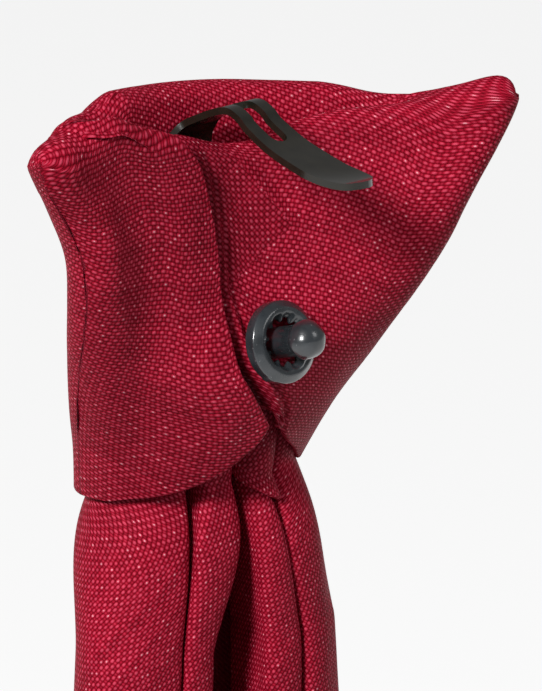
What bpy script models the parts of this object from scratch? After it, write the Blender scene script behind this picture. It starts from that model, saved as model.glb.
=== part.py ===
"""Clip-on necktie, hanging as worn: a wrapped knot with a metal clip hook, a rivet
pin and washer through its lap, and a pleated blade below.

Sizes are in millimetres and become metres when a mesh is made. +X is the near ear
of the knot, +Y the wearer's side, +Z up. Tables measure from the middle of the
washer's outer face; GRIP moves the origin to where the collar sits in the hook.
"""
import math

import bmesh
import bpy
import numpy as np

MM = 0.001
GRIP = np.array([3.7, -1.4, 24.1])

# Driving sizes of the cloth
TIE_LENGTH = 520.0
KNOT_TOP = 25.8
BLADE_HALF_WIDTH = 42.5
POINT_HEIGHT = 44.0
KNOT_WALL = 1.1
BLADE_WALL = 1.0
BLADE_TOP = 3.0
INNER_END_WALL = 0.8
INNER_END_TOP = -8.0
INNER_END_LOW = (-20.3, -16.9)
SEAM_GAP = 0.3
RIM_ROLL = 2.2
FLAP_ROLL = 1.3
LAP_LIFT = 1.5
LAP_STEP = 0.35

# Driving sizes of the fittings
PIN_RADIUS = 1.6
PIN_DOME_RADIUS = 2.0
PIN_REACH = 4.6
PIN_HEAD_RADIUS = 3.5
PIN_HEAD_THICKNESS = 1.0
PIN_SEAT_SAG = 1.1
WASHER_PLACE = np.array([-0.4, 0.4, 0.2])
WASHER_RADIUS = 4.2
WASHER_THICKNESS = 1.8
WASHER_HOLE_RADIUS = 2.3
WASHER_SCALLOP = 0.22
WASHER_LOBES = 10
CLIP_THICKNESS = 0.7

# Knot sections: height, outer half width at the folds, y of the folds, y of the
# front and back at the centre line, and the folds' radius.
KNOT_ROWS = (
    # z, half, side, front, back, fold
    (26.0, 29.7, 0.9, -13.2, -4.8, 2.5),
    (20.0, 28.1, 0.1, -13.8, -4.6, 2.6),
    (12.0, 24.1, -1.6, -15.4, -4.2, 3.0),
    (4.0, 21.8, -5.0, -17.9, -3.2, 3.6),
    (-3.0, 18.9, -9.3, -20.3, -1.3, 4.5),
    (-9.0, 16.6, -12.5, -22.7, -2.9, 5.0),
    (-14.0, 14.1, -15.9, -24.8, -5.8, 5.0),
    (-20.0, 13.0, -17.6, -26.6, -8.3, 5.2),
)

# The knot's top edge from the near ear (s = 1) to the far ear (s = -1): height of
# the turned-in rim, height of the flap's crest, how open the pocket between them
# is, and the pocket's depth.
TOP_ROWS = (
    # s, rim, crest, open, depth
    (-1.00, 24.2, 24.2, 0.0, 2.0),
    (-0.85, 22.8, 22.8, 0.0, 2.0),
    (-0.70, 23.1, 22.8, 0.3, 2.5),
    (-0.50, 23.3, 21.9, 0.9, 3.5),
    (-0.21, 24.1, 20.9, 1.0, 5.5),
    (-0.02, 24.8, 19.7, 1.0, 6.0),
    (0.14, 25.3, 19.9, 1.0, 6.0),
    (0.36, 25.9, 21.7, 1.0, 6.0),
    (0.60, 26.5, 23.0, 0.9, 3.5),
    (0.76, 26.8, 26.3, 0.3, 2.5),
    (0.88, 26.4, 26.4, 0.0, 2.0),
    (1.00, 24.3, 24.3, 0.0, 2.0),
)

# The knot's hem: height at the front and at the back.
HEM_ROWS = (
    # s, front, back
    (-1.00, -18.0, -18.0),
    (-0.60, -19.4, -15.0),
    (-0.25, -20.2, -11.4),
    (-0.07, -20.4, -7.8),
    (0.06, -20.4, -10.2),
    (0.30, -20.4, -14.0),
    (0.60, -20.0, -16.8),
    (1.00, -18.2, -18.2),
)

# The free edge of the near flap where it laps the far one.
LAP_ROWS = (
    # z, x
    (-20.0, 0.2),
    (-8.0, 0.8),
    (-1.4, 5.0),
    (4.0, 6.6),
    (12.0, 7.6),
    (17.0, 8.7),
    (19.5, 9.6),
    (21.0, 10.5),
    (23.0, 11.8),
)

# Blade folds in order round the section, from the near panel's free edge at the
# centre back, round the front and back to the far panel's edge. Each has its place
# in the knot, just under it, and lower down, and its share of the flat tube's path.
FOLD_LEVELS = (-17.5, -24.0, -36.0)
FOLD_ROWS = (
    # knot x, y, under x, y, lower x, y, share
    (-0.5, -15.0, -0.9, -15.0, 1.7, -17.5, 0.000),
    (-0.5, -12.3, -0.9, -11.5, 1.7, -13.0, 0.030),
    (-0.1, -10.3, -0.5, -9.4, 2.1, -10.3, 0.050),
    (1.9, -10.3, 1.7, -9.2, 4.4, -9.9, 0.085),
    (2.4, -12.2, 2.2, -11.2, 4.9, -11.2, 0.105),
    (2.7, -14.0, 2.5, -13.8, 5.0, -12.9, 0.118),
    (4.0, -14.0, 3.8, -13.8, 6.4, -12.9, 0.132),
    (4.4, -12.6, 4.4, -12.2, 6.5, -11.5, 0.145),
    (5.0, -11.6, 5.1, -10.6, 7.1, -10.2, 0.155),
    (7.9, -12.8, 9.2, -12.2, 11.2, -10.6, 0.200),
    (10.4, -16.6, 12.5, -16.6, 14.5, -13.4, 0.250),
    (8.4, -19.2, 11.3, -21.7, 13.0, -18.5, 0.300),
    (4.5, -21.8, 6.2, -24.6, 7.6, -22.6, 0.400),
    (0.0, -22.8, 0.0, -25.6, 0.0, -24.0, 0.500),
    (-4.5, -21.8, -6.4, -24.6, -8.0, -22.6, 0.600),
    (-8.4, -19.2, -11.8, -21.6, -14.0, -18.5, 0.700),
    (-10.4, -16.6, -13.7, -16.6, -15.6, -13.4, 0.750),
    (-8.9, -13.0, -10.6, -10.8, -12.6, -10.2, 0.800),
    (-7.2, -11.5, -7.3, -9.2, -10.1, -9.4, 0.845),
    (-6.2, -12.6, -6.6, -11.2, -9.5, -11.0, 0.860),
    (-6.1, -14.0, -6.5, -13.4, -9.4, -12.8, 0.873),
    (-4.8, -14.0, -5.2, -13.4, -8.0, -12.8, 0.887),
    (-4.7, -12.6, -5.1, -11.2, -7.9, -11.0, 0.900),
    (-4.1, -10.4, -4.6, -8.7, -7.3, -9.2, 0.915),
    (-2.9, -10.3, -3.2, -8.7, -5.3, -9.4, 0.940),
    (-2.3, -12.3, -2.7, -11.0, -4.7, -12.5, 0.960),
    (-2.3, -15.0, -2.7, -15.0, -4.6, -17.5, 1.000),
)

# Blade half width once its folds have opened out, by height.
WIDTH_ROWS = (
    # z, half
    (-450.0, 42.5),
    (-300.0, 34.0),
    (-150.0, 25.3),
    (-90.0, 21.6),
    (-60.0, 19.4),
    (-36.0, 17.0),
)

# Clip centre line from its foot in the pocket, over the crest and down the tongue:
# place, half width, and the slot's half width (0 where the strip is whole).
CLIP_ACROSS = np.array([0.97, 0.22, 0.0])
CLIP_ROWS = (
    # x, y, z, half, slot
    (6.0, -7.65, 15.5, 3.4, 0.0),
    (5.9, -7.65, 17.5, 3.8, 0.0),
    (5.75, -7.6, 20.2, 4.0, 0.0),
    (5.5, -7.2, 21.5, 3.2, 0.0),
    (5.2, -6.6, 22.4, 2.6, 0.0),
    (4.74, -5.1, 23.2, 2.5, 0.0),
    (4.2, -3.1, 24.1, 2.5, 0.0),
    (3.73, -1.4, 24.5, 2.5, 1.0),
    (3.36, 0.0, 23.9, 2.5, 1.0),
    (3.13, 0.9, 23.1, 2.5, 1.0),
    (2.6, 2.8, 21.9, 2.6, 1.0),
    (2.13, 4.5, 21.1, 2.7, 0.9),
    (1.56, 6.6, 20.35, 2.8, 0.0),
    (1.05, 8.5, 19.75, 2.8, 0.0),
    (0.53, 10.4, 19.35, 2.6, 0.0),
    (0.02, 12.3, 19.2, 2.1, 0.0),
    (-0.35, 13.7, 19.3, 1.1, 0.0),
)


def column(rows, at, index, key=0):
    """A table column as a smooth curve over another column, read at the values at."""
    table = np.array(sorted(rows, key=lambda row: row[key]))
    xs, ys = table[:, key], table[:, index]
    slope = np.gradient(ys, xs)
    at = np.clip(np.asarray(at, dtype=float), xs[0], xs[-1])
    i = np.clip(np.searchsorted(xs, at, side="right") - 1, 0, len(xs) - 2)
    step = xs[i + 1] - xs[i]
    t = (at - xs[i]) / step
    return (
        (2 * t**3 - 3 * t**2 + 1) * ys[i]
        + (t**3 - 2 * t**2 + t) * step * slope[i]
        + (3 * t**2 - 2 * t**3) * ys[i + 1]
        + (t**3 - t**2) * step * slope[i + 1]
    )


def ease(t):
    """A smooth step from 0 to 1."""
    t = np.clip(t, 0.0, 1.0)
    return t * t * (3 - 2 * t)


def catmull(points, counts):
    """A smooth curve through points, with a stated number of steps in each span."""
    points = np.asarray(points, dtype=float)
    before = 2 * points[0] - points[1]
    after = 2 * points[-1] - points[-2]
    padded = np.vstack([before, points, after])
    out = []
    for k, count in enumerate(counts):
        a, b, c, d = padded[k : k + 4]
        for t in np.arange(count) / count:
            out.append(
                0.5
                * (
                    2 * b
                    + (c - a) * t
                    + (2 * a - 5 * b + 4 * c - d) * t**2
                    + (3 * b - a - 3 * c + d) * t**3
                )
            )
    out.append(points[-1])
    return np.array(out)


def clear_scene():
    for obj in list(bpy.data.objects):
        bpy.data.objects.remove(obj, do_unlink=True)


def material(name, colour, roughness, metallic=0.0):
    mat = bpy.data.materials.new(name)
    mat.use_nodes = True
    shader = mat.node_tree.nodes["Principled BSDF"]
    shader.inputs["Base Color"].default_value = (*colour, 1.0)
    shader.inputs["Roughness"].default_value = roughness
    shader.inputs["Metallic"].default_value = metallic
    return mat


def add_object(name, points, faces, mat, sharp_angle=50.0):
    """One closed body from millimetre points, with its faces turned outwards."""
    mesh = bpy.data.meshes.new(name)
    mesh.from_pydata(((np.asarray(points) - GRIP) * MM).tolist(), [], faces)
    bm = bmesh.new()
    bm.from_mesh(mesh)
    bmesh.ops.remove_doubles(bm, verts=bm.verts, dist=1e-6)
    bmesh.ops.recalc_face_normals(bm, faces=bm.faces)
    bm.to_mesh(mesh)
    bm.free()
    mesh.materials.append(mat)
    mesh.shade_smooth()
    mesh.set_sharp_from_angle(angle=math.radians(sharp_angle))
    obj = bpy.data.objects.new(name, mesh)
    bpy.context.collection.objects.link(obj)
    return obj


def grid_normals(grid):
    """Unit normals of a grid of points, from its neighbours' differences."""
    along = np.gradient(grid, axis=0)
    across = np.gradient(grid, axis=1)
    normal = np.cross(along, across)
    return normal / np.maximum(np.linalg.norm(normal, axis=2, keepdims=True), 1e-9)


def wall_faces(kept):
    """Faces of a wall over the kept cells of a grid: both skins and every edge."""
    rows, cols = kept.shape
    near = np.arange((rows + 1) * (cols + 1)).reshape(rows + 1, cols + 1)
    far = near + near.size
    faces = []
    neighbour = ((-1, 0), (0, 1), (1, 0), (0, -1))
    for i in range(rows):
        for j in range(cols):
            if not kept[i, j]:
                continue
            corner = [(i, j), (i, j + 1), (i + 1, j + 1), (i + 1, j)]
            faces.append([int(near[c]) for c in corner])
            faces.append([int(far[c]) for c in reversed(corner)])
            for k, (di, dj) in enumerate(neighbour):
                ni, nj = i + di, j + dj
                inside = 0 <= ni < rows and 0 <= nj < cols
                if inside and kept[ni, nj]:
                    continue
                a, b = corner[k], corner[(k + 1) % 4]
                faces.append([int(near[b]), int(near[a]), int(far[a]), int(far[b])])
    return faces


def sheet_wall(name, grid, half, mat, kept=None):
    """A closed wall of stated half thickness on both sides of a grid of points."""
    normal = grid_normals(grid)
    half = np.broadcast_to(half, grid.shape[:2])[..., None]
    skin_a = (grid + normal * half).reshape(-1, 3)
    skin_b = (grid - normal * half).reshape(-1, 3)
    if kept is None:
        kept = np.ones((grid.shape[0] - 1, grid.shape[1] - 1), dtype=bool)
    return add_object(name, np.vstack([skin_a, skin_b]), wall_faces(kept), mat)


# Knot ---------------------------------------------------------------------------


def fold_curve(s, z, outer, sign):
    """Plan point and normal of the front (sign -1) or back (+1) at share s."""
    half = column(KNOT_ROWS, z, 1)
    side = column(KNOT_ROWS, z, 2)
    centre = column(KNOT_ROWS, z, outer)
    fold = column(KNOT_ROWS, z, 5)
    reach = half - fold
    rise = centre - sign * fold - side
    slope = -rise * 2 * s / reach
    point = np.array([reach * s, side + rise * (1 - s * s)])
    normal = sign * np.array([-slope, 1.0]) / math.hypot(slope, 1.0)
    return point, normal, fold


def knot_plan(s, turn, z, sign, lift=0.0):
    """Outer plan point at share s; turn swings it round the ear's fold to its tip."""
    outer = 4 if sign > 0 else 3
    point, normal, fold = fold_curve(s, z, outer, sign)
    if turn > 0:
        other = fold_curve(s, z, 7 - outer, -sign)[1]
        across = normal - other
        tip = np.array([-across[1], across[0]])
        tip *= math.copysign(1.0, tip[0] * s) / np.linalg.norm(tip)
        start = math.atan2(normal[1], normal[0])
        swing = math.atan2(tip[1], tip[0]) - start
        swing = (swing + math.pi) % (2 * math.pi) - math.pi
        angle = start + swing * turn
        normal = np.array([math.cos(angle), math.sin(angle)])
    return point + normal * (fold + lift)


def lap_share(z):
    """Share s of the near flap's free edge at a height."""
    reach = column(KNOT_ROWS, z, 1) - column(KNOT_ROWS, z, 5)
    return column(LAP_ROWS, z, 1) / reach


def knot_columns(near_steps, far_steps):
    """Columns round the knot: how far from the near ear to the lap, how far from the
    lap to the far ear, the swing round an ear's fold, and 1 on the near flap."""
    turns = (0.96, 0.72, 0.48, 0.24)
    columns = [(0.0, 0.0, turn, 1) for turn in turns]
    columns += [(k / near_steps, 0.0, 0.0, 1) for k in range(near_steps + 1)]
    columns += [(1.0, k / far_steps, 0.0, 0) for k in range(far_steps + 1)]
    columns += [(1.0, 1.0, turn, 0) for turn in reversed(turns)]
    return columns


def column_share(entry, z):
    """Share s of a knot column at a height; the far side starts a step past the lap."""
    near, far, _, on_flap = entry
    lap = float(lap_share(z))
    if on_flap:
        return 1 + (lap - 1) * near
    start = lap - LAP_STEP / float(column(KNOT_ROWS, z, 1))
    return start + (-1 - start) * far


def knot_profile(entry, lifted, inset, steps=9):
    """One column's curve: up the front, over the rim, into the pocket, over the
    flap's crest and down the back. inset is 0 on the outer skin and the wall's
    thickness on the inner one."""
    turn, on_flap = entry[2], entry[3]
    top_share = column_share(entry, 21.0)
    fold = float(column(KNOT_ROWS, 24.0, 5)) - inset
    lowered = inset + fold * (1 - math.cos(turn * math.pi / 2))
    rim = float(column(TOP_ROWS, top_share, 1)) - lowered
    crest = float(column(TOP_ROWS, top_share, 2)) - lowered
    opening = float(np.clip(column(TOP_ROWS, top_share, 3), 0.0, 1.0))
    depth = float(column(TOP_ROWS, top_share, 4))
    rim_roll = RIM_ROLL - inset
    flap_roll = FLAP_ROLL - inset
    lift = 0.0
    if lifted and on_flap:
        lift = LAP_LIFT * float(ease((1 - abs(top_share)) / 0.25)) * (turn == 0)
        lift = max(lift, LAP_LIFT * float(ease(entry[0] / 0.5)))

    fore = knot_plan(top_share, turn, rim - rim_roll, -1, -inset)
    aft = knot_plan(top_share, turn, crest - flap_roll, 1, -inset)
    raised = knot_plan(top_share, turn, crest - flap_roll, 1, lift - inset) - aft
    deep = float(np.linalg.norm(aft - fore))
    shoulder = min(rim, crest) - deep / 2
    dip = min(crest - 1.2 * FLAP_ROLL, rim - 1.2 * RIM_ROLL) - depth
    lean = 0.15 * opening
    slot = deep - 2 * rim_roll - 2 * flap_roll
    pocket = (
        (0.29 * rim_roll, rim - 0.29 * rim_roll),
        (rim_roll, rim),
        (1.71 * rim_roll, rim - 0.29 * rim_roll),
        (2 * rim_roll, rim - 1.1 * rim_roll),
        (2 * rim_roll + lean, dip + 2.4),
        (2 * rim_roll + 0.2 * slot, dip + 0.5),
        (2 * rim_roll + 0.5 * slot, dip),
        (2 * rim_roll + 0.8 * slot, dip + 0.5),
        (deep - 2 * flap_roll - lean, dip + 2.4),
        (deep - 2 * flap_roll, crest - 1.1 * flap_roll),
        (deep - 1.71 * flap_roll, crest - 0.29 * flap_roll),
        (deep - flap_roll, crest),
        (deep - 0.29 * flap_roll, crest - 0.29 * flap_roll),
    )
    lid = []
    for k, (across, height) in enumerate(pocket):
        angle = math.pi * (k + 1) / (len(pocket) + 1)
        arched = deep / 2 * (1 - math.cos(angle))
        arch = shoulder + deep / 2 * math.sin(angle)
        share = (across * opening + arched * (1 - opening)) / deep
        outside = max(0.0, 1 - (deep - across) / flap_roll) * opening
        outside += arched / deep * (1 - opening)
        place = fore + (aft - fore) * share + raised * outside
        lid.append((*place, height * opening + arch * (1 - opening)))

    rim_shoulder = (rim - rim_roll) * opening + shoulder * (1 - opening)
    crest_shoulder = (crest - flap_roll) * opening + shoulder * (1 - opening)
    front_hem = float(column(HEM_ROWS, column_share(entry, -18.0), 1))
    back_hem = float(column(HEM_ROWS, column_share(entry, -12.0), 2))
    front = []
    for z in np.linspace(front_hem, rim_shoulder, steps):
        s = column_share(entry, z)
        front.append((*knot_plan(s, turn, z, -1, -inset), z))
    back = []
    for z in np.linspace(crest_shoulder, back_hem, steps):
        s = column_share(entry, z)
        back.append((*knot_plan(s, turn, z, 1, lift - inset), z))
    counts = [2] * (steps - 2) + [1] * (len(lid) + 3) + [2] * (steps - 2)
    return catmull(front + lid + back, counts)


def knot_faces(columns, rows):
    """Faces of the knot's bag: outer and inner skins, the ears' closing strips and
    the hem. Row 0 is the front hem, the last row the back hem."""
    outer = np.arange(columns * rows).reshape(columns, rows)
    inner = outer + outer.size
    faces = []
    for skin in (outer, inner):
        flip = -1 if skin is inner else 1
        for i in range(columns - 1):
            for j in range(rows - 1):
                quad = (skin[i, j], skin[i + 1, j], skin[i + 1, j + 1], skin[i, j + 1])
                faces.append([int(v) for v in quad[::flip]])
        for i in (0, columns - 1):
            for j in range(rows // 2):
                k = rows - 1 - j
                strip = [skin[i, j], skin[i, j + 1], skin[i, k - 1], skin[i, k]]
                strip = [int(v) for v in strip]
                faces.append(strip if strip[1] != strip[2] else [strip[0], strip[1], strip[3]])
    hem = [(i, 0) for i in range(columns)]
    hem += [(i, rows - 1) for i in reversed(range(columns))]
    for a, b in zip(hem, hem[1:] + hem[:1]):
        faces.append([int(outer[a]), int(outer[b]), int(inner[b]), int(inner[a])])
    return faces


def make_knot(mat):
    columns = knot_columns(9, 18)
    outer = np.array([knot_profile(entry, True, 0.0) for entry in columns])
    inner = np.array([knot_profile(entry, False, KNOT_WALL) for entry in columns])
    points = np.vstack([outer.reshape(-1, 3), inner.reshape(-1, 3)])
    return add_object("knot_wrap", points, knot_faces(*outer.shape[:2]), mat)


# Blade --------------------------------------------------------------------------


def flat_path(share, half, middle, depth):
    """A point on the flat tube: back panel, near fold, front panel, far fold, back."""
    fold = 0.012
    slit = 0.2
    straight = half - depth
    sign = 1.0 if share < 0.5 else -1.0
    u = share if share < 0.5 else 1 - share
    if u < 0.25 - fold:
        return sign * (slit + (straight - slit) * u / (0.25 - fold)), middle + depth
    if u > 0.25 + fold:
        along = (0.5 - u) / (0.25 - fold)
        return sign * straight * along, middle - depth
    angle = math.pi * (u - 0.25 + fold) / (2 * fold)
    return (
        sign * (straight + depth * math.sin(angle)),
        middle + depth * math.cos(angle),
    )


def blade_section(z, steps):
    """The blade's mid line at a height, from one free back edge to the other."""
    table = np.array(FOLD_ROWS)
    level = np.clip(z, FOLD_LEVELS[2], FOLD_LEVELS[0])
    rows = [(FOLD_LEVELS[k], *table[:, 2 * k], *table[:, 2 * k + 1]) for k in range(3)]
    count = len(table)
    folds = []
    for k in range(count):
        x = float(column(rows, level, 1 + k))
        y = float(column(rows, level, 1 + count + k))
        folds.append((x, y, table[k, 6]))
    curve = catmull(folds, steps)
    inside = max(0.0, (z - FOLD_LEVELS[0]) / (BLADE_TOP - FOLD_LEVELS[0]))
    squeezed = -11.4 + (curve[:, 1] + 17.0) * 0.7
    curve[:, 0] *= 1 + 0.2 * inside
    curve[:, 1] += (squeezed - curve[:, 1]) * inside
    opened = float(ease((FOLD_LEVELS[2] - z) / 62.0))
    half = float(column(WIDTH_ROWS, z, 1))
    middle = -16.5 - 1.5 * opened
    out = []
    for x, y, share in curve:
        flat_x, flat_y = flat_path(float(np.clip(share, 0, 1)), half, middle, 1.15)
        grow = 1 + 0.10 * min(1.0, max(0.0, FOLD_LEVELS[2] - z) / 20.0)
        out.append(
            (x * grow * (1 - opened) + flat_x * opened, y * (1 - opened) + flat_y * opened)
        )
    return np.array(out)


def blade_grid():
    steps = [2] * (len(FOLD_ROWS) - 1)
    for k in range(8, 17):
        steps[k] = 3
    corner = KNOT_TOP - TIE_LENGTH + POINT_HEIGHT
    heights = [BLADE_TOP, -2.0, -7.0, -11.5, -16.0, -18.5, -21.0, -24.0, -28.0, -32.0, -36.0]
    heights += [-42.0, -50.0, -60.0, -72.0, -85.0, -100.0, -130.0, -170.0, -220.0]
    heights += [-280.0, -340.0, -400.0, corner]
    grid = []
    for z in heights:
        section = blade_section(z, steps)
        depth = np.clip((-z - 300.0) / (-corner - 300.0), 0, 1)
        inward = 1 - np.abs(section[:, 0]) / BLADE_HALF_WIDTH
        drop = POINT_HEIGHT * inward * depth
        grid.append(np.column_stack([section, z - drop]))
    return np.array(grid)


def make_blade(mat):
    return sheet_wall("blade", blade_grid(), BLADE_WALL / 2, mat)


def make_inner_end(mat):
    """The short inner layer that lies on the pleat beside the centre back."""
    folds = len(FOLD_ROWS) - 1
    steps = [4] * folds
    first, last = 4 * (folds - 4) + 3, 4 * (folds - 2) + 2
    grid = []
    for t in np.linspace(0, 1, 7):
        row = []
        for k in range(first, last + 1):
            side = (k - first) / (last - first)
            low = INNER_END_LOW[0] * (1 - side) + INNER_END_LOW[1] * side
            z = INNER_END_TOP + (low - INNER_END_TOP) * t
            section = blade_section(z, steps)
            along = section[k + 1] - section[k - 1]
            out = np.array([-along[1], along[0]]) / np.linalg.norm(along)
            away = BLADE_WALL / 2 + SEAM_GAP + INNER_END_WALL / 2
            row.append((*(section[k] + out * away), z))
        grid.append(row)
    return sheet_wall("inner_end", np.array(grid), INNER_END_WALL / 2, mat)


# Fittings -----------------------------------------------------------------------


def washer_axes():
    """Unit axes of the washer: outwards, across and up its face."""
    out = np.array([-0.13, 0.95, 0.28])
    out /= np.linalg.norm(out)
    across = np.cross(out, (0, 0, 1.0))
    across /= np.linalg.norm(across)
    return out, across, np.cross(across, out)


def turned(profile, segments, inner=None):
    """A ring or plug about the washer's axis from (radius, height) rows."""
    out, across, up = washer_axes()
    points = []
    for k in range(segments):
        angle = 2 * math.pi * k / segments
        ray = across * math.cos(angle) + up * math.sin(angle)
        for radius, height in profile:
            if inner is not None:
                radius = inner(angle, radius)
            points.append(WASHER_PLACE + ray * radius + out * height)
    return np.array(points)


def make_washer(mat):
    segments = 60
    high, low = 0.0, -WASHER_THICKNESS
    hole, rim = WASHER_HOLE_RADIUS, WASHER_RADIUS
    profile = (
        (hole, low + 0.9),
        (hole, high - 0.55),
        (hole + 0.35, high - 0.35),
        (rim - 1.2, high),
        (rim - 0.6, high),
        (rim, high - 0.6),
        (rim, low),
        (rim - 0.8, low),
    )

    def scalloped(angle, radius):
        near = 1 - (radius - hole) / (rim - hole)
        return radius + near**3 * WASHER_SCALLOP * math.cos(WASHER_LOBES * angle)

    points = turned(profile, segments, scalloped)
    count = len(profile)
    faces = []
    for k in range(segments):
        n = (k + 1) % segments
        for j in range(count):
            m = (j + 1) % count
            faces.append([k * count + j, n * count + j, n * count + m, k * count + m])
    return add_object("washer", points, faces, mat, 35.0)


def make_pin(mat):
    segments = 24
    inner_face = -WASHER_THICKNESS - SEAM_GAP - KNOT_WALL - PIN_SEAT_SAG
    head_back = inner_face - PIN_HEAD_THICKNESS
    dome = PIN_DOME_RADIUS
    profile = [(PIN_HEAD_RADIUS, head_back), (PIN_HEAD_RADIUS, inner_face)]
    profile += [(PIN_RADIUS, inner_face), (PIN_RADIUS, PIN_REACH - 2.6)]
    for degrees in (0, 25, 50, 72):
        angle = math.radians(degrees)
        height = PIN_REACH - dome + dome * math.sin(angle)
        profile.append((dome * math.cos(angle), height))
    points = turned(profile, segments)
    count = len(profile)
    faces = [[k * count for k in range(segments)]]
    faces.append([k * count + count - 1 for k in reversed(range(segments))])
    for k in range(segments):
        n = (k + 1) % segments
        for j in range(count - 1):
            faces.append([k * count + j, n * count + j, n * count + j + 1, k * count + j + 1])
    return add_object("pin", points, faces, mat, 35.0)


def make_clip(mat):
    """The bent strip: foot, leg, crest and slotted tongue with a round end."""
    rows = np.array(CLIP_ROWS)
    curve = catmull(rows, [2] * (len(rows) - 1))
    across = CLIP_ACROSS / np.linalg.norm(CLIP_ACROSS)
    grid = []
    for x, y, z, half, slot in curve:
        inner = max(slot, 0.45)
        line = [np.array([x, y, z]) + across * o for o in (-half, -inner, inner, half)]
        grid.append(line)
    grid = np.array(grid)
    kept = np.ones((len(grid) - 1, 3), dtype=bool)
    slotted = curve[:, 4] > 0.45
    kept[:, 1] = ~(slotted[:-1] & slotted[1:])
    return sheet_wall("clip_hook", grid, CLIP_THICKNESS / 2, mat, kept)


def cut_pin_hole(knot):
    """The hole that the pin goes through in the knot's lap."""
    out, across, up = washer_axes()
    low = -WASHER_THICKNESS - 4.0
    profile = [(PIN_RADIUS + SEAM_GAP, low), (PIN_RADIUS + SEAM_GAP, 2.0)]
    points = turned(profile, 16)
    faces = [[2 * k for k in range(16)], [2 * k + 1 for k in reversed(range(16))]]
    for k in range(16):
        n = (k + 1) % 16
        faces.append([2 * k, 2 * n, 2 * n + 1, 2 * k + 1])
    cutter = add_object("pin_hole_cutter", points, faces, knot.data.materials[0])
    cutter.hide_render = True
    cutter.display_type = "WIRE"
    cut = knot.modifiers.new("pin_hole", "BOOLEAN")
    cut.operation = "DIFFERENCE"
    cut.object = cutter


def main():
    clear_scene()
    cloth = material("crimson_cloth", (0.32, 0.02, 0.04), 0.7)
    plastic = material("black_plastic", (0.02, 0.02, 0.022), 0.4)
    metal = material("olive_black_metal", (0.035, 0.032, 0.027), 0.35, 0.6)
    cut_pin_hole(make_knot(cloth))
    make_blade(cloth)
    make_inner_end(cloth)
    make_clip(metal)
    make_washer(plastic)
    make_pin(plastic)


main()
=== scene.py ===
"""The looks of the clip-on necktie: woven cloth, bevelled clip, moulded rivet.

Sizes are in millimetres from the middle of the washer's outer face, as in the part's
own source, and GRIP moves them to the frame's origin. +X is the near ear of the knot,
+Y the wearer's side, +Z up.
"""

import math
from functools import partial

import bmesh
import bpy
import numpy as np
from mathutils import Matrix, Vector


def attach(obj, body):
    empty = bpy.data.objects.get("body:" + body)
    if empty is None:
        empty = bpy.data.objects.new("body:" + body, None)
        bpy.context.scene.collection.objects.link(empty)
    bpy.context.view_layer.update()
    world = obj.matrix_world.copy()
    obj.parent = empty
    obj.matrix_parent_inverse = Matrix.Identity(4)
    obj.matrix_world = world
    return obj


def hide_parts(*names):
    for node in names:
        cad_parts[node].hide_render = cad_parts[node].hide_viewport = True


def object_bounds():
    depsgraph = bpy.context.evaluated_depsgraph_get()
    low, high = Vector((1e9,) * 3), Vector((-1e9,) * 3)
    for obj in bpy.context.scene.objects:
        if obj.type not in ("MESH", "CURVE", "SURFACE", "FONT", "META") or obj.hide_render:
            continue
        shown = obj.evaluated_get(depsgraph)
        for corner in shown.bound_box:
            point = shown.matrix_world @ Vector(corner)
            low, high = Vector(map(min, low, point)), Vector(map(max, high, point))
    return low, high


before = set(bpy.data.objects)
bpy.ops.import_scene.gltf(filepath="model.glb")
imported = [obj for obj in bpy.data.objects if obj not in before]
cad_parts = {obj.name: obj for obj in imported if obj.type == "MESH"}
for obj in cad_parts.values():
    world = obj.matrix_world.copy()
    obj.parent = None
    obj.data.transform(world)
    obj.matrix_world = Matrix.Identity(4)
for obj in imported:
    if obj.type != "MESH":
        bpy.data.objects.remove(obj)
CAD_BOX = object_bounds()

MM = 0.001
GRIP = np.array([3.7, -1.4, 24.1])
CENTRE = Vector(tuple(-GRIP * MM))

# Driving sizes of the cloth, as the solids have them
TIE_LENGTH = 520.0
KNOT_TOP = 25.8
BLADE_HALF_WIDTH = 42.5
POINT_HEIGHT = 44.0
POINT_CORNER = KNOT_TOP - TIE_LENGTH + POINT_HEIGHT
BLADE_TOP = 3.0
INNER_END_TOP = -8.0
INNER_END_LOW = (-20.3, -16.9)
RIM_ROLL = 2.2
FLAP_ROLL = 1.3
LAP_LIFT = 1.5

# The skins on the solids: how far out each lies, and how thick its folded edges are
# and how far they are tucked under
SKIN_GAP = 0.10
SKIN_SINK = 0.14
BLADE_SKIN = 0.45
INNER_SKIN = 1.5
KNOT_EDGE = 0.8
KNOT_TUCK = 2.5
LAP_TUCK = 2.2
BLADE_EDGE = 0.9
BLADE_TUCK = 1.5
BLADE_HEM_TUCK = 6.0
INNER_EDGE = 0.6
INNER_TUCK = 0.5
INNER_HEM_TUCK = 1.2

# Points are welded within so many metres. PARTED, in millimetres, keeps two skins
# whose flat maps differ from being welded.
SKIN_WELD = 2e-6
SOLID_WELD = 1e-6
PARTED = 0.004

# The near ear's top: how far it is drawn out, from what height and over how much, and
# the share of its round end that is let down
EAR_PULL = 1.9
EAR_PULL_FROM = 16.5
EAR_PULL_OVER = 5.5
EAR_DROP = 0.55

# The knot's pocket: how far below its edges a roll ends and the dip starts, in rolls,
# the sides' lean, and heights over the dip. ARC is 1 less the cosine of 45 degrees.
ROLL_FOOT = 1.1
DIP_BELOW = 1.2
POCKET_LEAN = 0.15
POCKET_SIDE = 2.4
POCKET_CORNER = 0.5
ARC = 0.29

# Heights where a knot column reads its place along the top, the ear and the hems
TOP_LEVEL = 21.0
EAR_LEVEL = 24.0
FRONT_HEM_LEVEL = -18.0
BACK_HEM_LEVEL = -12.0

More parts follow.
